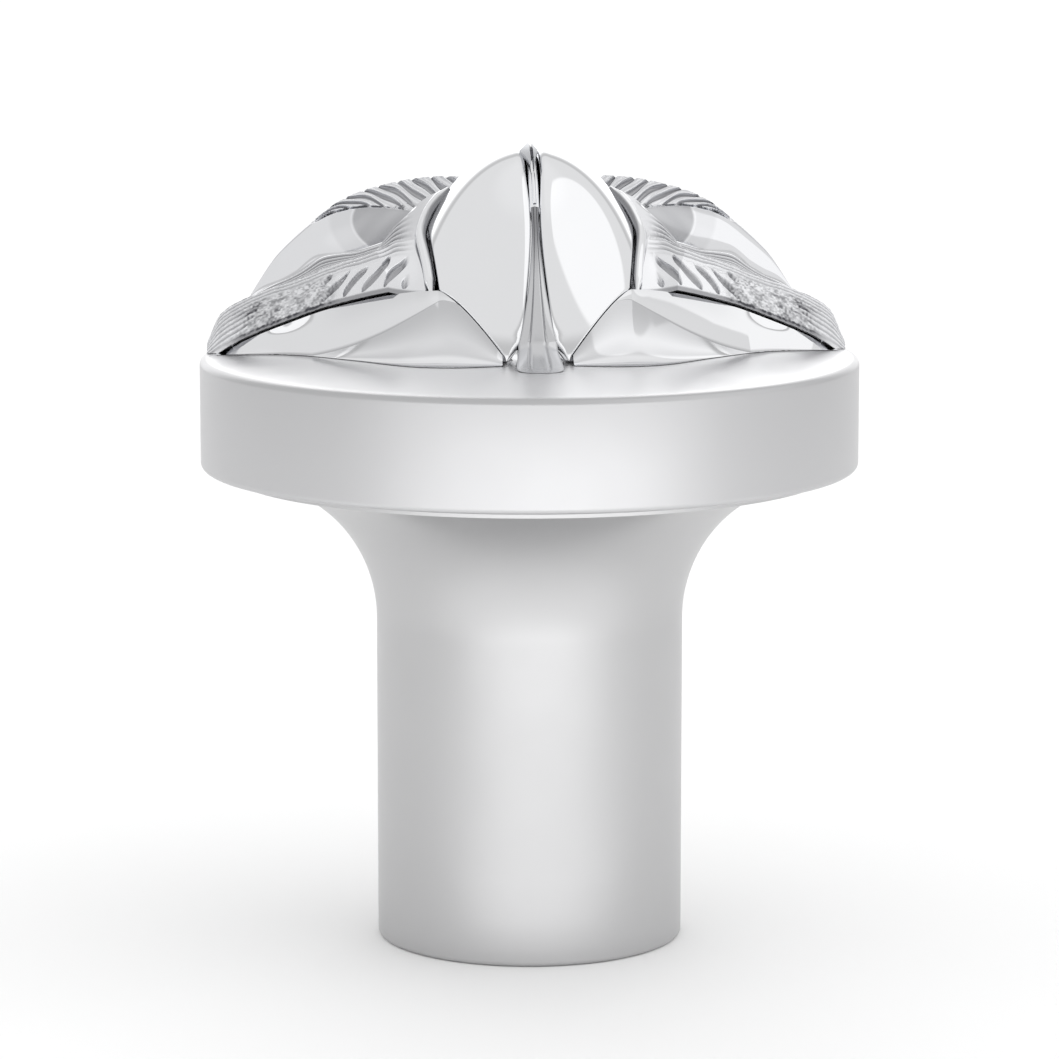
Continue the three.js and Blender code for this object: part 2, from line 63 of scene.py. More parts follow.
# The stem and the disc, whose outer sizes come from the frame. DISC_TOP is the plane of the disc's top rim,
# and its crowned middle rises above that plane.
_, STEM_HIGH = box_mm("stem")
DISC_LOW, DISC_HIGH = box_mm("plinth_disc")
STEM_R = 15.2
STEM_TOP = STEM_HIGH[2]
FLARE_R = STEM_HIGH[0] - STEM_R
FLARE_LIP = 0.4
FOOT_EDGE = 0.5
NUT_POCKET_R = 10.0
NUT_POCKET_TOP = 22.0
STUD_BORE_R = 4.3
DISC_R = DISC_HIGH[0]
DISC_SIDE = 10.8
DISC_BOTTOM = DISC_LOW[2]
DISC_TOP = DISC_BOTTOM + DISC_SIDE
DISC_EDGE = 0.6
CROWN_RISE = 1.0

# The dome is half an ellipsoid, split by a slot in its middle plane.
DOME_X = 12.9
DOME_Y = 13.6
DOME_Z = 20.9
SHELL_T = 1.2
SEAM = 0.3
TIP_HALF_SLOT = 3.0
WAIST_HALF_SLOT = 0.5
CLOSED_HALF_SLOT = 0.06
BEAD_R = 0.55
BEAD_GAP = 0.2

# The wings start in the dome's side and stop inside the disc's rim.
WING_ROOT = DOME_X - 4.4
WING_REACH = DISC_R - 0.7
WING_FRONT = -(DOME_Y - 4.6)
WING_SWEEP = 12.2
WING_FOOT_DROP = 0.5
REAR_REACH = DISC_R - 2.7
RIM_LIMIT = DISC_R - 0.35


def smooth_curve(points):
    """A smooth curve through (place, value) points, the same one that the CAD part uses."""
    xs = np.array([p[0] for p in points], float)
    ys = np.array([p[1] for p in points], float)
    last = len(xs) - 1
    before = np.maximum(np.arange(last + 1) - 1, 0)
    after = np.minimum(np.arange(last + 1) + 1, last)
    slopes = (ys[after] - ys[before]) / (xs[after] - xs[before])

    def at(place):
        place = np.asarray(place, float)
        i = np.clip(np.searchsorted(xs, place, side="right") - 1, 0, last - 1)
        span = xs[i + 1] - xs[i]
        t = (place - xs[i]) / span
        rise = ys[i + 1] - ys[i]
        bend_a = slopes[i] * span - rise
        bend_b = rise - slopes[i + 1] * span
        return ys[i] + rise * t + t * (1 - t) * (bend_a * (1 - t) + bend_b * t)

    return at


def mix(a, b, t):
    return a + (b - a) * t


def ease(x, low, high):
    """0 below low, 1 above high, smooth between."""
    t = np.clip((x - low) / (high - low), 0, 1)
    return t * t * (3 - 2 * t)


def crown(radius):
    """How far the disc's top stands above its rim plane."""
    return CROWN_RISE * (1 - (np.minimum(radius, DISC_R) / DISC_R) ** 2)


# ------------------------------------------------------------------ meshes

MERGE_WITHIN = 0.002
SLIVER_BELOW = 0.001


def mesh_object(name, verts, faces, *, sharp_angle=40, marks=None):
    """A mesh object from millimetre points, shaded smooth except at sharp edges.

    marks holds a value for each point that the materials read: the shade mark, 1 where the colour is darkened
    to near-black as painted shade, and on the front wings also as a darker mottled patch, and grain, 1 where
    it is rough."""
    mesh = bpy.data.meshes.new(name)
    mesh.from_pydata((np.asarray(verts) * MM).tolist(), [], faces)
    for mark, values in (marks or {}).items():
        layer = mesh.attributes.new(mark, "FLOAT", "POINT")
        layer.data.foreach_set("value", np.clip(values, 0, 1).astype(np.float32))
    obj = bpy.data.objects.new(name, mesh)
    bpy.context.scene.collection.objects.link(obj)
    fix_normals(mesh)
    mesh.shade_smooth()
    mesh.set_sharp_from_angle(angle=math.radians(sharp_angle))
    return obj


def fix_normals(mesh):
    """Merges points that coincide and turns every face outwards."""
    work = bmesh.new()
    work.from_mesh(mesh)
    bmesh.ops.remove_doubles(work, verts=work.verts, dist=MERGE_WITHIN * MM)
    bmesh.ops.dissolve_degenerate(work, edges=work.edges, dist=SLIVER_BELOW * MM)
    bmesh.ops.recalc_face_normals(work, faces=work.faces)
    work.to_mesh(mesh)
    work.free()


def loft(name, loops, *, sharp_angle=40, marks=None):
    """A closed body through rows of points, each row a closed loop. A mark has one value for each point."""
    loops = np.asarray(loops, float)
    rows, columns, _ = loops.shape
    verts = list(loops.reshape(-1, 3))
    marks = {
        mark: list(np.broadcast_to(values, (rows, columns)).ravel())
        for mark, values in (marks or {}).items()
    }
    faces = []
    for row in range(rows - 1):
        for column in range(columns):
            beside = (column + 1) % columns
            a = row * columns + column
            b = row * columns + beside
            faces.append((a, b, b + columns, a + columns))
    for row in (0, rows - 1):
        middle = len(verts)
        verts.append(loops[row].mean(axis=0))
        for values in marks.values():
            values.append(values[row * columns])
        for column in range(columns):
            faces.append((row * columns + column, row * columns + (column + 1) % columns, middle))
    return mesh_object(name, verts, faces, sharp_angle=sharp_angle, marks=marks)


def turned(name, profile, segments=256, painted_shade_and_patch=None):
    """A body of revolution about Z through (radius, height) points, the last of which is the first again."""
    angles = np.arange(segments) * 2 * math.pi / segments
    verts = []
    for radius, height in profile:
        for angle in angles:
            verts.append((radius * math.cos(angle), radius * math.sin(angle), height))
    faces = []
    for ring in range(len(profile) - 1):
        for k in range(segments):
            beside = (k + 1) % segments
            a = ring * segments
            faces.append((a + k, a + beside, a + segments + beside, a + segments + k))
    marks = None if painted_shade_and_patch is None else {"painted_shade_and_patch": np.repeat(painted_shade_and_patch, segments)}
    return mesh_object(name, verts, faces, marks=marks)


def piece(obj, nodes, material):
    """Registers a visual piece on the one body, in place of its CAD nodes."""
    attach(obj, "root")
    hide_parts(*nodes)
    obj.data.materials.clear()
    obj.data.materials.append(material)


# ------------------------------------------------------------------ materials

# The near-black that the painted shade, and the darker patch on the front wings, mix the metal's colour
# towards.
SHADE_AND_PATCH_BLACK = (0.10, 0.10, 0.112)
CLOUD_SCALE = 140.0
GRAIN_DEPTH = 0.02
GRAIN_RELIEF = 0.5
GRAIN_ROUGHNESS = 0.22
SHADE_AND_PATCH_ROUGHNESS = 0.25


def math_node(tree, operation, first, second):
    """A maths node. Each input is a number or another node's output."""
    node = tree.nodes.new("ShaderNodeMath")
    node.operation = operation
    for socket, value in zip(node.inputs, (first, second)):
        if isinstance(value, (int, float)):
            socket.default_value = value
        else:
            tree.links.new(value, socket)
    return node.outputs[0]


def metal(name, color, roughness, *, spread=0.01, grain_scale=900.0, grain=0.0):
    """A metal with a cloudy tone and gloss. The shade mark darkens its colour towards near-black as painted
    shade, and as a darker patch on the front wings, and makes it a little rougher; the grain mark roughens
    it.
    """
    material = bpy.data.materials.new(name)
    material.use_nodes = True
    tree = material.node_tree
    nodes, links = tree.nodes, tree.links
    shader = nodes["Principled BSDF"]
    shader.inputs["Metallic"].default_value = 1.0

    def color_mix(first, second, factor):
        node = nodes.new("ShaderNodeMix")
        node.data_type = "RGBA"
        for socket, value in ((node.inputs["A"], first), (node.inputs["B"], second)):
            if isinstance(value, tuple):
                socket.default_value = (*value, 1)
            else:
                links.new(value, socket)
        links.new(factor, node.inputs["Factor"])
        return node.outputs["Result"]

    def mark(word):
        node = nodes.new("ShaderNodeAttribute")
        node.attribute_name = word
        return node.outputs["Fac"]

    place = nodes.new("ShaderNodeTexCoord").outputs["Object"]
    painted_shade_and_patch, rough_mark = mark("painted_shade_and_patch"), mark("grain")

    # Cloudy tone.
    cloud = nodes.new("ShaderNodeTexNoise")
    cloud.inputs["Scale"].default_value = CLOUD_SCALE
    cloud.inputs["Detail"].default_value = 3.0
    links.new(place, cloud.inputs["Vector"])
    low = tuple(c * (1 - spread) for c in color)
    high = tuple(min(c * (1 + spread), 1) for c in color)
    tone = color_mix(low, high, cloud.outputs["Fac"])
    # Painted shade: the shade mark mixes the colour towards near-black.
    links.new(color_mix(tone, SHADE_AND_PATCH_BLACK, painted_shade_and_patch), shader.inputs["Base Color"])

    # Fine grain.
    fine = nodes.new("ShaderNodeTexNoise")
    fine.inputs["Scale"].default_value = grain_scale
    fine.inputs["Detail"].default_value = 4.0
    links.new(place, fine.inputs["Vector"])
    relief = nodes.new("ShaderNodeBump")
    relief.inputs["Distance"].default_value = GRAIN_DEPTH * MM
    marked_relief = math_node(tree, "MULTIPLY", rough_mark, GRAIN_RELIEF)
    links.new(math_node(tree, "ADD", marked_relief, grain), relief.inputs["Strength"])
    links.new(fine.outputs["Fac"], relief.inputs["Height"])
    links.new(relief.outputs["Normal"], shader.inputs["Normal"])

    # Gloss: about the given roughness, a little cloudy, and rougher where the marks say so.
    wander = math_node(tree, "MULTIPLY", cloud.outputs["Fac"], roughness * 0.3)
    cloudy = math_node(tree, "ADD", wander, roughness * 0.85)
    from_grain = math_node(tree, "MULTIPLY", rough_mark, GRAIN_ROUGHNESS)
    from_shade_and_patch = math_node(tree, "MULTIPLY", painted_shade_and_patch, SHADE_AND_PATCH_ROUGHNESS)
    marked = math_node(tree, "ADD", from_grain, from_shade_and_patch)
    links.new(math_node(tree, "ADD", cloudy, marked), shader.inputs["Roughness"])
    return material


CHROME = metal("polished_chrome", (0.93, 0.935, 0.95), 0.05)
SATIN = metal("satin_steel", (0.54, 0.54, 0.545), 0.42, spread=0.012)
# The disc takes a much brighter copy of the stem's satin steel: painted light, standing in for the bright
# reflection of the tent that its top would catch.
SATIN_PAINTED_BRIGHT = metal("satin_painted_bright", (0.95, 0.95, 0.955), 0.32, spread=0.012)
RIBBED = metal("ribbed_chrome", (0.9, 0.905, 0.925), 0.08, spread=0.02, grain_scale=2600.0)
DARK = metal("dark_steel", (0.12, 0.12, 0.135), 0.3, spread=0.1, grain=0.2)
ZINC = metal("zinc_steel", (0.60, 0.61, 0.63), 0.42, spread=0.05, grain=0.2)
FINISHES = {
    "polished_chrome": CHROME,
    "satin_steel": SATIN,
    "ribbed_chrome": RIBBED,
    "dark_steel": DARK,
    "zinc_steel": ZINC,
}

# The CAD pieces that stay visible take the metals of their slots.
for part in frame["record"]["subparts"]:
    cad_mesh = frame["nodes"][part["node"]]
    for material_slot in cad_mesh.material_slots:
        material_slot.material = FINISHES[part["material_slot"]]


# ------------------------------------------------------------------ stem and disc

def arc(center, radius, start, end, count):
    """Points of an arc in (radius, height), angles in degrees from outwards."""
    angles = np.radians(np.linspace(start, end, count))
    return [(center[0] + radius * math.cos(a), center[1] + radius * math.sin(a)) for a in angles]


def stem():
    """The satin column, flared at the top, with its stud bore and nut pocket."""
    flare_base = STEM_TOP - FLARE_LIP - FLARE_R
    hair_gap = 0.02
    top = DISC_BOTTOM - hair_gap
    foot = arc((STEM_R - FOOT_EDGE, FOOT_EDGE), FOOT_EDGE, -90, 0, 8)
    flare = arc((STEM_R + FLARE_R, flare_base), FLARE_R, 180, 90, 48)
    profile = [
        (NUT_POCKET_R, 0.0),
        *foot,
        *[(STEM_R, z) for z in np.linspace(2, flare_base - 1, 12)],
        *flare,
        (STEM_R + FLARE_R, top),
        (STUD_BORE_R, top),
        (STUD_BORE_R, NUT_POCKET_TOP),
        (NUT_POCKET_R, NUT_POCKET_TOP),
        (NUT_POCKET_R, 0.0),
    ]
    piece(turned("stem_body", profile), ["stem"], SATIN)


def plinth_disc():
    """The satin disc, with rounded edges, a crowned top, and painted shade on its side so that the side is a
    little darker than the top.
    """
    side_shade = 0.46
    crown_reach = DISC_R - 2 * DISC_EDGE
    lower = arc((DISC_R - DISC_EDGE, DISC_BOTTOM + DISC_EDGE), DISC_EDGE, -90, 0, 10)
    upper = arc((DISC_R - DISC_EDGE, DISC_TOP - DISC_EDGE), DISC_EDGE, 0, 80, 10)
    top = [(r, DISC_TOP + crown(r)) for r in np.linspace(crown_reach, STUD_BORE_R, 40)]
    profile = [(STUD_BORE_R, DISC_BOTTOM), *lower, *upper, *top, (STUD_BORE_R, DISC_BOTTOM)]
    # Painted shade on the disc's rounded outer side.
    painted_side_shade = np.array([side_shade * (radius > DISC_R - DISC_EDGE) for radius, _ in profile])
    body = turned("plinth_disc_body", profile, painted_shade_and_patch=painted_side_shade)
    piece(body, ["plinth_disc"], SATIN_PAINTED_BRIGHT)


# ------------------------------------------------------------------ the dome and its shells

DEG = math.pi / 180
TIP_MU = 3.2 * DEG
SHOULDER_MU = 31 * DEG
SHOULDER_LAMBDA = 46.5 * DEG
SIDE_LAMBDA = 52.5 * DEG
CLOSED_MU = 100 * DEG
TIP_LAMBDA = math.asin(TIP_HALF_SLOT / DOME_X)


def dome_point(side, lam, mu, lift=0.0):
    """A point of the dome: lam turns out from the middle plane, mu from the front over the top."""
    lam, mu, lift = np.broadcast_arrays(lam, mu, lift)
    x = side * (DOME_X + lift) * np.sin(lam)
    y = -(DOME_Y + lift) * np.cos(lam) * np.cos(mu)
    z = DISC_TOP + (DOME_Z + lift) * np.cos(lam) * np.sin(mu)
    return np.stack([x, y, z], axis=-1)


def shell_outer(mu):
    """Lambda of a shell's outer edge: out from the tip to the shoulder, then curved up the side."""
    from_end = min(mu, math.pi - mu)
    if from_end < SHOULDER_MU:
        return mix(TIP_LAMBDA, SHOULDER_LAMBDA, (from_end - TIP_MU) / (SHOULDER_MU - TIP_MU))
    t = (from_end - SHOULDER_MU) / (math.pi / 2 - SHOULDER_MU)
    return mix(SHOULDER_LAMBDA, SIDE_LAMBDA, math.sin(t * math.pi / 2))


# Half the slot's width along mu.
HALF_SLOT = smooth_curve([
    (TIP_MU, TIP_HALF_SLOT),
    (8 * DEG, TIP_HALF_SLOT * 0.6),
    (20 * DEG, TIP_HALF_SLOT * 0.37),
    (42 * DEG, WAIST_HALF_SLOT),
    (66 * DEG, WAIST_HALF_SLOT * 1.5),
    (92 * DEG, WAIST_HALF_SLOT),
    (CLOSED_MU, CLOSED_HALF_SLOT),
])


def shell_inner(mu):
    """Lambda of a shell's inner edge: open along the slot, closed over the back, open at the back tip."""
    if mu > CLOSED_MU:
        t = (mu - CLOSED_MU) / (math.pi - TIP_MU - CLOSED_MU)
        return mix(math.asin(CLOSED_HALF_SLOT / DOME_X), TIP_LAMBDA * 0.98, t ** 6)
    return math.asin(float(HALF_SLOT(mu)) / DOME_X)


def shell(side, word):
    """A half-dome shell from its front tip over the top to its back tip, with rolled edges."""
    round_in, round_out = 0.95, 0.3
    round_share = 0.3
    narrowest = 0.004
    stations = TIP_MU + (math.pi - 2 * TIP_MU) * np.linspace(0, 1, 200)
    quarter = np.linspace(0, math.pi / 2, 7)
    loops = []
    for mu in stations:
        inner = shell_inner(mu)
        outer = max(shell_outer(mu), inner + narrowest)
        width = (outer - inner) * DOME_X
        r_in = min(round_in, width * round_share)
        r_out = min(round_out, width * round_share)
        lam, lift = [], []
        # The rolled inner edge, rising from the wall to the face.
        for a in quarter:
            lam.append(inner + r_in / DOME_X * (1 - math.sin(a)))
            lift.append(-0.55 * r_in * (1 - math.cos(a)))
        lam, lift = lam[::-1], lift[::-1]
        face = np.linspace(inner + r_in / DOME_X, outer - r_out / DOME_X, 60)[1:-1]
        lam = [*lam, *face]
        lift = [*lift, *[0.0] * len(face)]
        for a in quarter:
            lam.append(outer - r_out / DOME_X * (1 - math.sin(a)))
            lift.append(-r_out * (1 - math.cos(a)))
        under = np.linspace(outer, inner, 12)
        lam = [*lam, *under]
        lift = [*lift, *[-SHELL_T] * len(under)]
        loops.append(dome_point(side, np.array(lam), mu, np.array(lift)))
    obj = loft(f"{word}_shell_body", loops, sharp_angle=50)
    piece(obj, [f"{word}_shell"], CHROME)


def dome_core():
    """The core: an ellipsoid below the shells, with a low tongue that stands in the slot."""
    lift = -SHELL_T - SEAM
    mus = np.linspace(2 * DEG, math.pi - 2 * DEG, 121)
    lams = np.concatenate([np.linspace(-88, -5, 60), np.linspace(-4.6, 4.6, 47), np.linspace(5, 88, 60)])
    lams = lams * DEG
    tongue = 0.75 * np.exp(-((np.abs(lams) * DOME_X / 0.62) ** 6))
    top = [dome_point(1, lams, mu, lift + tongue * (48 * DEG < mu < 90 * DEG)) for mu in mus]
    loops = [np.concatenate([row, row[::-1] * [1, 1, 0] + [0, 0, DISC_TOP + 0.6]]) for row in top]
    obj = loft("dome_core_body", loops, sharp_angle=60)
    piece(obj, ["dome_core"], CHROME)


def tube(name, points, radius, outward, around=24):
    """A round tube along points, with a radius at each, and painted shade on its side turned away from the
    outward directions.
    """
    points = np.asarray(points, float)
    tangents = np.gradient(points, axis=0)
    tangents /= np.linalg.norm(tangents, axis=1, keepdims=True)
    up = np.array([0.0, 0.0, 1.0])
    angles = np.linspace(0, 2 * math.pi, around, endpoint=False)
    loops, painted_shade_and_patch = [], []
    for point, tangent, r, out in zip(points, tangents, radius, outward):
        first = np.cross(tangent, up)
        first /= np.linalg.norm(first)
        second = np.cross(first, tangent)
        round_it = [math.cos(a) * first + math.sin(a) * second for a in angles]
        loops.append([point + r * radial for radial in round_it])
        # Painted shade on the side of the tube that faces away from outwards, into the gap beside it.
        painted_shade_and_patch.append([0.75 * (1 - ease(float(radial @ out), 0.15, 0.6)) for radial in round_it])
    return loft(name, loops, marks={"painted_shade_and_patch": np.array(painted_shade_and_patch)})


# ------------------------------------------------------------------ wings and skirts

# Heights of a wing's lower lip, crest and back line above the disc's rim plane, from root (0) to tip (1).
LIP_H = smooth_curve([
    (0, 7.9), (0.2, 7.3), (0.48, 5.5), (0.65, 3.9), (0.82, 2.1), (0.9, 1), (1, -0.6),
])
CREST_H = smooth_curve([
    (0, 12.6), (0.19, 11.8), (0.27, 10.9), (0.58, 7.9), (0.79, 5.9), (0.94, 3.8), (1, 0.8),
])
BACK_H = smooth_curve([
    (0, 12.6), (0.15, 12), (0.37, 10.3), (0.51, 9.7), (0.61, 8.1), (0.8, 5.6), (0.94, 3), (1, 0.4),
])


def span_at(u):
    """Distance from the middle plane at a share u of the wing, from root (0) to tip (1)."""
    return mix(WING_ROOT, WING_REACH, u)


def u_at(distance):
    """The share u of the wing at a distance from the middle plane."""
    return (distance - WING_ROOT) / (WING_REACH - WING_ROOT)


def lip_y(u):
    return WING_FRONT + WING_SWEEP * u


def crest_y(u):
    return lip_y(u) + mix(3.8, 2.0, u)


def back_y(u):
    return lip_y(u) + mix(8.4, 4.0, u)


def settle(distance, y, height, floor=0.05):
    """Keeps points inside the disc's rim and above its crowned top."""
    radius = np.hypot(distance, y)
    squeeze = np.minimum(1, RIM_LIMIT / np.maximum(radius, 1e-6))
    distance = distance * squeeze
    y = y * squeeze
    height = np.maximum(height, crown(np.hypot(distance, y)) + floor)
    return distance, y, height


def place_on(side, distance, y, height):
    """Points on one side of the middle plane, side being -1 or 1."""
    return np.stack([side * distance, y, DISC_TOP + height], axis=-1)


def speckle(shape, coarse, seed):
    """Smooth seeded noise from -1 to 1 over a grid, in cells of the coarse size."""
    rng = np.random.default_rng(seed)
    rows, columns = shape
    cells = rng.uniform(-1, 1, (rows // coarse + 3, columns // coarse + 3))
    r, c = np.arange(rows) / coarse, np.arange(columns) / coarse
    i, j = r.astype(int), c.astype(int)
    a, b = ease(r - i, 0, 1)[:, None], ease(c - j, 0, 1)[None, :]
    upper = mix(cells[np.ix_(i, j)], cells[np.ix_(i, j + 1)], b)
    lower = mix(cells[np.ix_(i + 1, j)], cells[np.ix_(i + 1, j + 1)], b)
    return mix(upper, lower, a)


def leaves(along, tall, pitch, half_width):
    """A row of leaf-shaped hollows. along is millimetres across the row, tall runs 0 to 1 up each leaf."""
    phase = along / pitch
    off = np.abs(phase - np.floor(phase) - 0.5) * pitch
    half = half_width * np.sin(np.pi * np.clip(tall, 0, 1)) ** 0.8
    return ease(half - off, -0.12, 0.22) * ease(half, 0.02, 0.12)


def ridges(phase):
    """Fine raised lines, 0 in the valley and 1 on the line."""
    part = phase - np.floor(phase)
    return np.sin(np.pi * part) ** 2


def runs(*groups):
    """For the points round a section: which run each is in, counted from 0, and how far along it."""
    kind = np.concatenate([np.full(len(group), k) for k, group in enumerate(groups)])
    return kind[None, :], np.concatenate(groups)[None, :]


# Lambda and mu of a shell's rolled rim in degrees: 0 to 1 climbs the front, 1 to 2 runs up the flank.
RIM_FOOT_LAMBDA, RIM_FOOT_MU = 47, 31.6
RIM_TOP_LAMBDA, RIM_TOP_MU = 33.5, 90.5
RIM_LAMBDA = smooth_curve([
    (0, RIM_FOOT_LAMBDA), (0.35, 48.8), (0.6, 50.3), (0.8, 51), (1, 50.6),
    (1.2, 49), (1.45, 45.5), (1.7, 40.5), (2, RIM_TOP_LAMBDA),
])
RIM_MU = smooth_curve([
    (0, RIM_FOOT_MU), (0.35, 46), (0.6, 58.5), (0.8, 68.5), (1, 76.5),
    (1.2, 82.5), (1.45, 87), (1.7, 89.3), (2, RIM_TOP_MU),
])
# Where the front wing's back foot stands against the dome.
BACK_FOOT_LAMBDA, BACK_FOOT_MU = 60, 122


def rim_path(t):
    """Lambda and mu of the rolled rim in radians."""
    return RIM_LAMBDA(t) * DEG, RIM_MU(t) * DEG


def flank_lift(t, low, high):
    """Lift off the dome along the rim: low on the front, high up the flank, low again at the top."""
    return low + (high - low) * ease(t, 0.3, 1.2) * (1 - ease(t, 1.5, 2.0))


def rim_bead(side, word):
    """The rolled rim of a shell: up the front, up the flank, and the same again at the back."""
    t = np.linspace(-0.02, 1.95, 120)
    lam, mu = rim_path(t)
    beyond = (BEAD_R + 0.5 * BEAD_GAP) / DOME_X
    taper = np.clip(0.25 + 4 * np.minimum(t - t[0], t[-1] - t), 0, 1)
    for end, turn in (("front", mu), ("back", math.pi - mu)):
        path = dome_point(side, lam + beyond, turn, flank_lift(t, 0.1, 0.5))
        out = dome_point(side, lam + beyond, turn, 2.0) - dome_point(side, lam + beyond, turn, 1.0)
        out /= np.linalg.norm(out, axis=1, keepdims=True)
        obj = tube(f"{word}_rim_bead_{end}", path, BEAD_R * taper, out)
        piece(obj, [f"{word}_rim_bead"], CHROME)


# The runs round a front wing's section: its ribbed face, its top, its back and its underside.
FACE, TOP, DROP, UNDER = range(4)


def front_wing(side, word):
    """A ribbed wing swept back from the shell's rim to the disc's edge, with its lower lip darkened by
    painted shadow.
    """
    face, top = np.linspace(0, 1, 120), np.linspace(0, 1, 60)[1:]
    drop, under = np.linspace(0, 1, 6)[1:], np.linspace(1, 0, 9)[1:-1]
    kind, t = runs(face, top, drop, under)
    fullness = 0.45

    def section(distance):
        """Depth and height of the wing's section at a distance, without its root."""
        u = np.clip(u_at(distance), 0, 1)
        lip, crest, back = lip_y(u), crest_y(u), back_y(u)
        h_lip, h_crest, h_back = LIP_H(u), CREST_H(u), BACK_H(u)
        bulge = fullness * np.sin(np.pi * t)
        y = np.where(kind == FACE, mix(lip, crest, t) - bulge, back)
        h = np.where(kind == FACE, mix(h_lip, h_crest, t) + bulge, h_back)
        y = np.where(kind == TOP, mix(crest, back, t), y)
        h = np.where(kind == TOP, mix(h_crest, h_back, t) - bulge, h)
        h = np.where(kind == DROP, mix(h_back, h_lip - WING_FOOT_DROP, t), h)
        y = np.where(kind == UNDER, mix(lip + WING_FOOT_DROP, back, t), y)
        h = np.where(kind == UNDER, h_lip - WING_FOOT_DROP, h)
        return y, h

    # The root follows the shell's rim, and its pull on the section fades outwards.
    lam, mu = rim_path(np.where(kind == FACE, t, np.where(kind == TOP, 1 + t, 2)))
    # Behind the rim's top it runs down the dome towards the rear wing, and forward again along the foot.
    lam = np.where(kind == DROP, mix(RIM_TOP_LAMBDA, BACK_FOOT_LAMBDA, t) * DEG, lam)
    mu = np.where(kind == DROP, mix(RIM_TOP_MU, BACK_FOOT_MU, t) * DEG, mu)
    lam = np.where(kind == UNDER, mix(RIM_FOOT_LAMBDA, BACK_FOOT_LAMBDA, t) * DEG, lam)
    mu = np.where(kind == UNDER, mix(RIM_FOOT_MU, BACK_FOOT_MU, t) * DEG, mu)
    beyond = (2 * BEAD_R + BEAD_GAP) / DOME_X
    along_rim = np.where(kind == FACE, t, np.where(kind == TOP, 1 + t, np.where(kind == DROP, 2 - t, 0)))
    root = dome_point(1, lam + beyond, mu, flank_lift(along_rim, 0.25, 1.0))[0]
    root_d, root_y, root_h = root[:, 0], root[:, 1], root[:, 2] - DISC_TOP
    low_reach, high_reach = 3.6, 5.3
    reach = np.where(kind == DROP, high_reach, low_reach)
    reach = np.where(kind == TOP, mix(low_reach, high_reach, t), reach)[0]
    w = np.linspace(0, 1, 460)[:, None] ** 1.15
    distance = mix(root_d[None, :], WING_REACH, w)
    y, height = section(distance)
    first_y, first_h = section(root_d[None, :])
    pull = 1 - np.clip((distance - root_d) / reach, 0, 1) ** 1.9
    y = y + (root_y - first_y) * pull
    height = height + (root_h - first_h) * pull

    # Relief, in which the barbs are hollows and the crest lines stand up, and painted shade: in the barb
    # hollows, between the crest lines, along the lower lip, over the top, behind and under the wing, with a
    # darker mottled patch outboard.
    u = u_at(distance)
    wide = np.broadcast_to(t, distance.shape)
    on_face = np.broadcast_to(kind == FACE, distance.shape)
    on_top = np.broadcast_to(kind == TOP, distance.shape)
    hollow, line, line_zone, rough, patch = feather_marks(distance, wide, on_face, on_top)
    lift = 0.13 * line - 0.42 * hollow + 0.08 * rough * speckle(distance.shape, 3, 5)
    y = y - lift * 0.6
    height = height + lift * 0.8
    # rolled marks the lowest band of the face at the lip, which takes painted shadow.
    rolled = on_face * (1 - ease(wide, 0.06, 0.1)) * (1 - ease(u, 0.85, 0.97))
    painted_shade_and_patch = 0.58 * hollow + 0.45 * (line_zone - line) + 0.06 * line_zone + patch + 0.62 * rolled
    painted_shade_and_patch = painted_shade_and_patch + on_top * (0.16 + 0.1 * (line_zone - line)) * ease(u, 0.02, 0.1)
    painted_shade_and_patch = np.where(np.broadcast_to(kind >= DROP, distance.shape), 0.35, painted_shade_and_patch)
    grain = 0.3 * on_face + rough + 0.6 * hollow

    # The first row drops to the dome as the root's inner wall.
    buried = dome_point(1, lam + beyond, mu, -0.9)[0]
    distance = np.vstack([buried[None, :, 0], distance])
    y = np.vstack([buried[None, :, 1], y])
    height = np.vstack([buried[None, :, 2] - DISC_TOP, height])
    # The root's wall takes painted shade too.
    painted_shade_and_patch = np.vstack([np.full((1, painted_shade_and_patch.shape[1]), 0.6), painted_shade_and_patch])
    grain = np.vstack([grain[:1], grain])
    distance, y, height = settle(distance, y, height)
    marks = {"painted_shade_and_patch": painted_shade_and_patch, "grain": grain}
    obj = loft(f"front_{word}_wing_body", place_on(side, distance, y, height), sharp_angle=70, marks=marks)
    piece(obj, [f"front_{word}_wing"], RIBBED)


BARB_PITCH, BARB_HALF_WIDTH = 1.95, 0.56


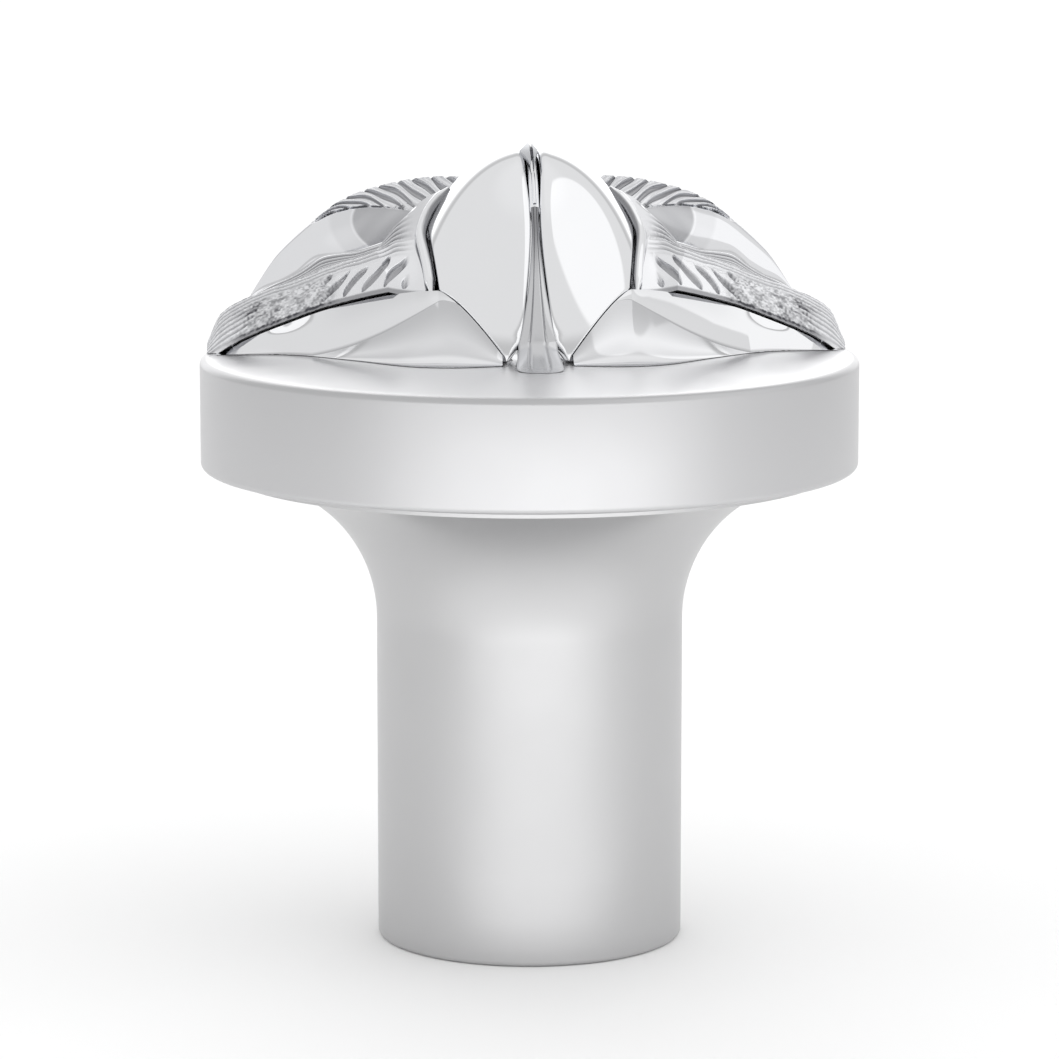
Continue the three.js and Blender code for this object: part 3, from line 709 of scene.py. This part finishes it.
def feather_marks(distance, t, on_face, on_top):
    """Where the front wing is hollowed by barbs, lined, rough, and dark outboard."""
    barbed = on_face * (1 - ease(distance, 19.5, 20.8)) * ease(distance, 11.9, 12.7)
    lean = 3.0 * ease(t, 0.0, 0.85)
    wander = 0.12 * np.sin(1.7 * distance + 1.0)
    tall = (t - 0.09) / (0.6 + 0.08 * np.sin(2.3 * distance))
    hollow = barbed * leaves(distance + lean + wander, tall, BARB_PITCH, BARB_HALF_WIDTH)
    # Fine lines follow the crest and wrap down over the tip.
    tip = ease(distance, 25.5, 28.5)
    sway = 0.22 * np.sin(distance * 0.9) + 0.05 * np.sin(distance * 2.7)
    line_zone = on_face * ease(t, 0.64 - 0.64 * tip, 0.8 - 0.66 * tip) + on_top * (1 - ease(t, 0.85, 1.0))
    line_zone = line_zone * ease(distance, 11.2, 13.5)
    line = line_zone * np.where(on_face, ridges(9.0 * t + sway), ridges(7.0 * t + 0.4 + sway))
    rough = on_face * ease(distance, 12.5, 20) * 0.5 + on_top * (1 - ease(t, 0.2, 0.6)) * 0.3
    panel = on_face * ease(distance, 18.5, 20.5) * (1 - ease(distance, 27, 29.5))
    panel = panel * (1 - ease(t, 0.62, 0.78)) * ease(t, 0.0, 0.06)
    mottle = speckle(distance.shape, 4, 11) + 0.6 * speckle(distance.shape, 12, 17)
    patch = panel * (0.4 - 0.25 * t + 0.36 * mottle)
    return hollow, line, line_zone, np.clip(rough + 0.3 * panel, 0, 1), np.clip(patch, 0, 1)


# Depth of a skirt's foot on the disc, from beside the keel (0) to under the wing's tip (1).
FOOT_Y = smooth_curve([
    (0, -14.6), (0.17, -15), (0.33, -13.4), (0.52, -8), (0.72, -2.2), (0.86, -0.2), (1, 1.4),
])
SKIRT_INNER = TIP_HALF_SLOT + 0.4
SKIRT_END = 0.96


def shell_edge(distance):
    """Depth and height of the shells' lower outer edge at a distance from the middle plane."""
    lam = np.arcsin(np.clip(distance / DOME_X, 0, math.sin(SHOULDER_LAMBDA)))
    mu = TIP_MU + (lam - TIP_LAMBDA) * (SHOULDER_MU - TIP_MU) / (SHOULDER_LAMBDA - TIP_LAMBDA)
    return -DOME_Y * np.cos(lam) * np.cos(mu), DOME_Z * np.cos(lam) * np.sin(mu)


def rounded(values, width):
    """A curve with its corners rounded off over a number of samples each way, its ends kept."""
    reach = np.arange(-width, width + 1)
    weights = np.exp(-0.5 * (reach / (0.4 * width)) ** 2)
    before = 2 * values[0] - values[width:0:-1]
    after = 2 * values[-1] - values[-2:-width - 2:-1]
    padded = np.concatenate([before, values, after])
    return np.convolve(padded, weights / weights.sum(), mode="valid")


def skirt(side, word):
    """The smooth flank below a front wing: a leaning web, a crease, and a sweep dished onto the disc."""
    shoulder = DOME_X * math.sin(SHOULDER_LAMBDA)
    outer_end = span_at(SKIRT_END)
    count = 300
    t = np.linspace(0, 1, count)
    distance = mix(SKIRT_INNER, outer_end, t)
    u = np.maximum(u_at(distance), 0)
    edge_y, edge_h = shell_edge(distance)
    blend = ease(distance, shoulder - 1.2, shoulder + 2.2)
    top_y = mix(edge_y, lip_y(u) + 0.42, blend)
    top_h = mix(edge_h, LIP_H(u) - 0.38, blend)
    foot_y = FOOT_Y(t)
    foot_h = crown(np.hypot(distance, foot_y)) + 0.05
    # The crease between the upper web and the lower sweep falls from the shoulder to the disc.
    crease_from, crease_run = 7.6, 13.9
    fall = np.clip((distance - crease_from) / crease_run, 0, 1)
    crease_h = mix(top_h, foot_h, fall ** 0.95)
    crease_y = mix(top_y, foot_y, fall) - 1.1 * np.sin(np.pi * fall)
    # Below its upper edge the sweep rounds off the corner at the shoulder.
    soft_y, soft_h = rounded(crease_y, 24), rounded(crease_h, 24)
    flare_out = (fall * (1 - ease(t, 0.7, 0.95)))[:, None]
    k = np.linspace(0, 1, 60)[None, :]
    above = k[:, 1:]
    foot_y, foot_h, crease_y, crease_h, top_y, top_h, soft_y, soft_h = (
        values[:, None] for values in (foot_y, foot_h, crease_y, crease_h, top_y, top_h, soft_y, soft_h)
    )
    # The sweep is dished like a fillet onto the disc, and the web leans back under the lip.
    sweep_y = mix(foot_y, mix(soft_y, crease_y, k ** 4), k ** 0.62)
    sweep_h = mix(foot_h, mix(soft_h, crease_h, k ** 4), k ** 1.45)
    web_y = mix(crease_y, top_y, above) + 0.55 * np.sin(np.pi * above) * flare_out
    web_h = mix(crease_h, top_h, above)
    back = np.maximum(back_y(u)[:, None] - 0.3, top_y + 0.6)
    y = np.concatenate([sweep_y, web_y, back, back, foot_y * 0.3 + back * 0.7], axis=1)
    h = np.concatenate([sweep_h, web_h, top_h, foot_h, foot_h], axis=1)
    d = np.broadcast_to(distance[:, None], y.shape)
    d, y, h = settle(d, y, h, 0.03)
    # Painted shade on the sweep: darker under the crease, a dark line where the foot meets the disc and a
    # darker band low down; darker along the web's lower edge; and on the back rows.
    inboard = (1 - ease(fall, 0.7, 1))[:, None]
    under_crease_shade = 0.34 * ease(k, 0.35, 1.0) * inboard
    foot_shadow_line = 0.5 * (1 - ease(k, 0.02, 0.1))
    low_shade_band = 0.22 * ease(k, 0.22, 0.32) * (1 - ease(k, 0.32, 0.6)) * inboard
    sweep_shade = under_crease_shade + (foot_shadow_line + low_shade_band)
    web_shade = 0.5 * (1 - ease(above, 0.0, 0.1)) + 0.05 + 0.1 * inboard * ease(above, 0.3, 1)
    painted_shade_and_patch = np.concatenate([sweep_shade, web_shade, np.full((count, 3), 0.3)], axis=1)
    obj = loft(f"{word}_skirt_body", place_on(side, d, y, h), sharp_angle=20, marks={"painted_shade_and_patch": painted_shade_and_patch})
    piece(obj, [f"{word}_skirt"], CHROME)


# Height of a rear wing's crest above the disc's rim plane, from the middle plane (0) to the tip (1).
REAR_CREST_H = smooth_curve([
    (0, 15.4), (0.22, 16.7), (0.35, 16.6), (0.46, 16), (0.57, 15),
    (0.67, 13.3), (0.82, 9.4), (0.9, 6), (1, 0.8),
])


def rails_from_dome(rail, end, count, lift):
    """Points along each rail from the dome's side to its end. rail(distance) gives depth and height."""
    low = np.full(rail(np.full((1, 1), 8.0))[0].shape[1], 2.0)
    high = np.full_like(low, end)
    for _ in range(40):
        middle = (low + high) / 2
        y, height = rail(middle[None, :])
        inside = (middle / (DOME_X + lift)) ** 2 + (y[0] / (DOME_Y + lift)) ** 2
        inside = inside + (height[0] / (DOME_Z + lift)) ** 2 < 1
        low = np.where(inside, middle, low)
        high = np.where(inside, high, middle)
    distance = mix(high[None, :], end, np.linspace(0, 1, count)[:, None])
    y, height = rail(distance)
    return distance, y, height


# How far the ribbed band reaches below the rear crest, by distance from the middle plane.
BAND_DEPTH = smooth_curve([(6, 3.4), (10, 3.3), (12.5, 2.7), (15, 1.9), (17.5, 1.2), (20, 0.5), (22, 0.05)])


BAND_PITCH, BAND_HALF_WIDTH = 1.7, 0.46
FAN_PITCH, FAN_HALF_WIDTH = 1.55, 0.5
# The runs round a rear wing's section that differ from its flat foot: the cupped front and the back.
CUP, FAN = range(2)


def rear_wing(side, word):
    """A cupped wing behind the dome, with a ribbed band along its crest and a ribbed back."""
    kind, t = runs(np.linspace(0, 1, 130), np.linspace(0, 1, 60)[1:], np.linspace(0, 1, 6)[1:-1])
    root = 0.06
    foot_height = -0.5

    def rail(distance):
        v = np.clip((distance - root) / (REAR_REACH - root), 0, 1)
        u = np.clip(u_at(distance), 0, 1)
        crest = REAR_CREST_H(v)
        crest_at = DOME_Y - 3.6 + 0.8 * v
        front = np.minimum(back_y(u) + 0.1, crest_at - 0.5)
        bottom = np.minimum(BACK_H(u) - 1.2, crest - 0.3)
        back_at = np.maximum(DOME_Y + mix(3.0, -1.2, v), crest_at + 1)
        angle = t * np.pi / 2
        y = np.where(kind == CUP, mix(front, crest_at, np.sin(angle)), mix(back_at, front, t))
        h = np.where(kind == CUP, mix(crest, bottom, np.cos(angle)), foot_height)
        y = np.where(kind == FAN, mix(crest_at, back_at, np.sin(angle)), y)
        h = np.where(kind == FAN, mix(foot_height, crest, np.cos(angle)), h)
        return y, h

    distance, y, height = rails_from_dome(rail, REAR_REACH, 420, -0.6)
    v = (distance - root) / (REAR_REACH - root)
    crest = REAR_CREST_H(np.clip(v, 0, 1))
    depth = np.maximum(BAND_DEPTH(np.clip(distance, 6, 22)), 0.05)
    below = (crest - height) / depth
    wide = np.broadcast_to(t, distance.shape)
    on_cup = np.broadcast_to(kind == CUP, distance.shape)
    on_back = np.broadcast_to(kind == FAN, distance.shape)
    inboard = 1 - ease(distance, 19.0, 21.5)
    band = on_cup * inboard * (1 - ease(below, 0.92, 1.0))
    lean = distance + 4.2 * np.clip(below, -0.2, 1.2) + 0.15 * np.sin(2.1 * distance)
    front_leaves = leaves(lean, 0.1 + 0.85 * below, BAND_PITCH, BAND_HALF_WIDTH) * band
    back_leaves = on_back * leaves(distance - 2.2 * wide, 0.2 + 0.75 * wide, FAN_PITCH, FAN_HALF_WIDTH)
    back_leaves = back_leaves * (1 - ease(wide, 0.75, 1)) * (1 - ease(distance, 22, 25))
    veins = ridges(lean / 0.52) * band
    # The band stands proud of the polished hollow below it.
    lift = 0.28 * band - 0.34 * (front_leaves + back_leaves) + 0.04 * veins
    height = height + lift * np.where(on_cup, 0.6, np.cos(wide * np.pi / 2))
    y = y - lift * on_cup * 0.8 + lift * on_back * np.sin(wide * np.pi / 2)
    # Painted shade: heavy in the hollow's seat beside the dome, lighter on the paler frame outboard of it,
    # and in the leaf hollows and between the band's veins.
    oval = np.hypot((distance - 13.2) / 4.1, (height - 12.6) / 2.9)
    seat_shade = on_cup * (1 - ease(oval, 0.93, 1.0)) * (1 - band)
    frame_zone = on_cup * ease(oval, 1.0, 1.05) * (1 - ease(oval, 1.45, 1.6)) * (1 - band)
    painted_shade_and_patch = 0.5 * front_leaves + 0.5 * back_leaves + 0.16 * band * (1 - veins)
    painted_shade_and_patch = painted_shade_and_patch + (0.5 + 0.1 * speckle(distance.shape, 30, 23)) * seat_shade + 0.1 * frame_zone
    grain = 0.7 * band + 0.5 * back_leaves
    distance, y, height = settle(distance, y, height)
    marks = {"painted_shade_and_patch": painted_shade_and_patch, "grain": grain}
    obj = loft(f"rear_{word}_wing_body", place_on(side, distance, y, height), sharp_angle=70, marks=marks)
    piece(obj, [f"rear_{word}_wing"], RIBBED)


# ------------------------------------------------------------------ the pieces in the slot

def middle_point(mu, depth, x):
    """A point beside the middle plane, a depth below the dome's surface at mu."""
    point = dome_point(1, 0.0, mu, -depth)
    return np.array([x, point[1], point[2]])


def keel():
    """A wedge that fills the slot's lower half and flares onto the disc, with two lines down its face."""
    top_mu, flare_mu = 50 * DEG, 8 * DEG
    side_gap, thick = 0.16, 2.4
    reach, spread = 5.6, 0.9
    groove_depth, groove_place, groove_width = 0.16, 0.42, 0.05
    across = np.linspace(-1, 1, 41)
    back_across = across[::-8]
    crowned = 0.35 * (1 - across ** 2)
    groove = groove_depth * np.exp(-(((np.abs(across) - groove_place) / groove_width) ** 2))
    rows = []
    mus = np.linspace(top_mu, flare_mu, 90)
    for mu in mus:
        half = max(float(HALF_SLOT(mu)) - side_gap, 0.1) + 0.25 * ease(mu, 25 * DEG, flare_mu)
        depth = mix(0.75, 0.45, ease(mu, 40 * DEG, 12 * DEG)) - (crowned - groove) * min(half, 1)
        front = [middle_point(mu, d, half * x) for d, x in zip(depth, across)]
        behind = [middle_point(mu, thick, half * x) for x in back_across]
        rows.append(front + behind)
    # The foot runs on from the wedge's face as a rounded tongue that thins out over the disc.
    face = rows[-1][len(across) // 2]
    face_half, face_y, face_h = half, face[1], face[2] - DISC_TOP
    foot = np.linspace(0, 1, 50)[1:]
    sunk = 0.02
    for t in foot ** 0.8:
        half = mix(face_half, face_half + spread, t ** 1.4) * max(1 - t ** 5, 0.004) ** 0.5
        y = face_y - reach * t
        fall = (1 - t) ** 2.2
        disc_top = crown(-y) + 0.03
        front = []
        for x, g in zip(across, groove):
            h = disc_top + (face_h - disc_top) * fall * (1 - 0.25 * x * x * (1 - t))
            front.append(np.array([half * x, y, DISC_TOP + max(h - g * (1 - t), disc_top - sunk)]))
        inner = min(face_y + 2.0, 0) - (reach - 0.6) * t
        behind = [np.array([half * x, inner, DISC_TOP + disc_top - sunk]) for x in back_across]
        rows.append(front + behind)
    # Painted shade: the two lines, the side edges, the back and the upper part deep in the slot are darker,
    # the whole keel a little darker, and all of it fades out along the foot.
    lines = np.concatenate([0.28 * groove / groove_depth, np.zeros(len(back_across))])
    edge = np.concatenate([0.35 * ease(np.abs(across), 0.88, 1.0), np.full(len(back_across), 0.6)])
    fade = np.concatenate([np.ones(len(mus)), (1 - foot) ** 0.5])[:, None]
    upper = np.concatenate([0.45 * ease(mus, 24 * DEG, 44 * DEG), np.zeros(len(foot))])[:, None]
    painted_shade_and_patch = (lines + edge)[None, :] * fade + upper + 0.3 * fade
    # The foot turns satin where it meets the disc.
    grain = np.concatenate([np.zeros(len(mus)), np.linspace(0, 1.3, len(foot))])[:, None]
    obj = loft("slot_keel_body", rows, sharp_angle=50, marks={"painted_shade_and_patch": painted_shade_and_patch, "grain": grain})
    piece(obj, ["slot_keel"], CHROME)


def slot_strip(name, from_mu, to_mu, half, near, far):
    """A rounded strip along the slot, from a near to a far depth below the dome's surface."""
    angles = np.linspace(0, 2 * math.pi, 16, endpoint=False)
    depths = [(near + far) / 2 - (far - near) / 2 * math.cos(a) for a in angles]
    sideways = [half * math.sin(a) for a in angles]
    loops = []
    for mu in np.linspace(from_mu, to_mu, 40):
        loops.append([middle_point(mu, depth, x) for depth, x in zip(depths, sideways)])
    return loft(name, loops)


def slot_bar():
    """The narrow bright bar high up in the slot."""
    bar = slot_strip("slot_bar_body", 51 * DEG, 66 * DEG, 0.28, 0.45, 2.0)
    piece(bar, ["slot_bar"], CHROME)


def crest_clip():
    """The hooked strip at the slot's top, with a pointed tab on each side."""
    hook = slot_strip("crest_clip_body", 80 * DEG, 93 * DEG, 0.3, 0.1, 2.0)
    piece(hook, ["crest_clip"], DARK)
    # A tab's share of its full width by mu in degrees, from its lower end to its upper.
    outline = [(69, 0.3), (73, 0.6), (78, 1.0), (83, 0.5), (87, 0.2)]
    inner_edge, narrowest = 0.15, 0.2
    proud, sunk = 0.16, -0.25
    for side, word, width in ((-1, "left", 1.15), (1, "right", 0.6)):
        rows = []
        for mu, share in outline:
            lams = np.linspace(inner_edge, max(narrowest, share * width), 8) / DOME_X
            upper = dome_point(side, lams, mu * DEG, proud)
            lower = dome_point(side, lams[::-1], mu * DEG, sunk)
            rows.append(np.concatenate([upper, lower]))
        tab = loft(f"crest_clip_{word}_tab", rows, sharp_angle=30)
        piece(tab, ["crest_clip"], ZINC)


stem()
plinth_disc()
dome_core()
keel()
slot_bar()
crest_clip()
for side, word in ((-1, "left"), (1, "right")):
    shell(side, word)
    rim_bead(side, word)
    front_wing(side, word)
    rear_wing(side, word)
    skirt(side, word)


# ------------------------------------------------------------------ floor, world, lights and camera

FLOOR_RADIUS = 3.0
FLOOR_TONE = 0.88
FLOOR_SIDES = 96
TENT_TONE = 0.78
# How much more strongly the tent lights matt surfaces than polished metal mirrors it.
MATT_GAIN = 1.45
# Each zone of the tent: its axis, where it starts and is full along the axis, and what it adds.
TENT_ZONES = [
    ((0, 1, 0), 0.67, 0.86, 1.3),
    ((0, 1, 0), 0.60, 0.65, -0.2),
    ((0, 0, 1), 0.80, 0.95, 0.05),
    ((0, 0, -1), -0.12, -0.02, -0.22),
    ((0.771, -0.207, 0.602), 0.80, 0.83, 0.24),
]
# Each soft panel: its size, power, place and tilt. Two stand upright, and three lie near the floor facing up.
SOFTBOXES = [
    ("narrow_softbox", (0.14, 0.05), 0.024, (0.01, -0.125, 0.026), math.pi / 2),
    ("wide_softbox", (0.3, 0.05), 0.036, (0.01, -0.125, 0.026), math.pi / 2),
    ("narrow_card", (0.07, 0.1), 0.005, (0.003, -0.075, 0.001), math.pi),
    ("middle_card", (0.13, 0.12), 0.009, (0.003, -0.085, 0.001), math.pi),
    ("wide_card", (0.22, 0.14), 0.018, (0.003, -0.095, 0.001), math.pi),
]
CAMERA_AZIMUTH = -3.5 * DEG
CAMERA_DISTANCE = 454.65
CAMERA_HEIGHT = DISC_TOP + 56.735
CAMERA_PITCH = 0.1616
LENS = 157.64
SENSOR = 36.0


def floor():
    """A plain pale matt floor."""
    radius = FLOOR_RADIUS / MM
    turns = [2 * math.pi * side / FLOOR_SIDES for side in range(FLOOR_SIDES)]
    rim = [(radius * math.cos(turn), radius * math.sin(turn), 0) for turn in turns]
    ground = mesh_object("floor", rim, [tuple(range(FLOOR_SIDES))])
    material = bpy.data.materials.new("floor_white")
    material.use_nodes = True
    shader = material.node_tree.nodes["Principled BSDF"]
    shader.inputs["Base Color"].default_value = (FLOOR_TONE, FLOOR_TONE, FLOOR_TONE, 1)
    shader.inputs["Roughness"].default_value = 0.9
    ground.data.materials.append(material)


def softboxes():
    """Low soft panels close in front. They light the turned pieces and leave the sculpture to the tent."""
    turned_pieces = bpy.data.collections.new("turned_pieces")
    for name in ("stem_body", "plinth_disc_body"):
        turned_pieces.objects.link(bpy.data.objects[name])
    for name, size, power, place, tilt in SOFTBOXES:
        data = bpy.data.lights.new(name, "AREA")
        data.shape = "RECTANGLE"
        data.size, data.size_y = size
        data.energy = power
        panel = bpy.data.objects.new(name, data)
        panel.location = place
        panel.rotation_euler = (tilt, 0, 0)
        panel.visible_camera = False
        panel.light_linking.receiver_collection = turned_pieces
        bpy.context.scene.collection.objects.link(panel)


def studio():
    """A pale tent round the object, brighter behind, overhead and on the right, and darker low down."""
    world = bpy.data.worlds.new("studio")
    bpy.context.scene.world = world
    world.use_nodes = True
    tree = world.node_tree
    nodes, links = tree.nodes, tree.links
    background = nodes["Background"]
    direction = nodes.new("ShaderNodeTexCoord").outputs["Generated"]

    def along(axis):
        node = nodes.new("ShaderNodeVectorMath")
        node.operation = "DOT_PRODUCT"
        links.new(direction, node.inputs[0])
        node.inputs[1].default_value = Vector(axis).normalized()
        return node.outputs["Value"]

    def zone(axis, start, full, gain):
        """Adds gain where the direction turns from start to full along an axis."""
        node = nodes.new("ShaderNodeMapRange")
        node.interpolation_type = "SMOOTHSTEP"
        node.inputs["From Min"].default_value = start
        node.inputs["From Max"].default_value = full
        node.inputs["To Max"].default_value = gain
        links.new(along(axis), node.inputs["Value"])
        return node.outputs["Result"]

    total = zone(*TENT_ZONES[0])
    for tent_zone in TENT_ZONES[1:]:
        total = math_node(tree, "ADD", total, zone(*tent_zone))
    links.new(math_node(tree, "ADD", total, TENT_TONE), background.inputs["Color"])
    path = nodes.new("ShaderNodeLightPath")
    strength = nodes.new("ShaderNodeMapRange")
    strength.inputs["To Min"].default_value = 1.0
    strength.inputs["To Max"].default_value = MATT_GAIN
    links.new(path.outputs["Is Diffuse Ray"], strength.inputs["Value"])
    links.new(strength.outputs["Result"], background.inputs["Strength"])


def camera():
    """A long lens in front and slightly to the left, looking down a little."""
    data = bpy.data.cameras.new("camera")
    data.lens = LENS
    data.sensor_width = SENSOR
    view = bpy.data.objects.new("camera", data)
    bpy.context.scene.collection.objects.link(view)
    x = CAMERA_DISTANCE * math.sin(CAMERA_AZIMUTH)
    y = -CAMERA_DISTANCE * math.cos(CAMERA_AZIMUTH)
    view.location = (x * MM, y * MM, CAMERA_HEIGHT * MM)
    view.rotation_euler = (math.pi / 2 - CAMERA_PITCH, 0, CAMERA_AZIMUTH)
    bpy.context.scene.camera = view


floor()
softboxes()
studio()
camera()
bpy.context.scene.view_settings.view_transform = "Standard"
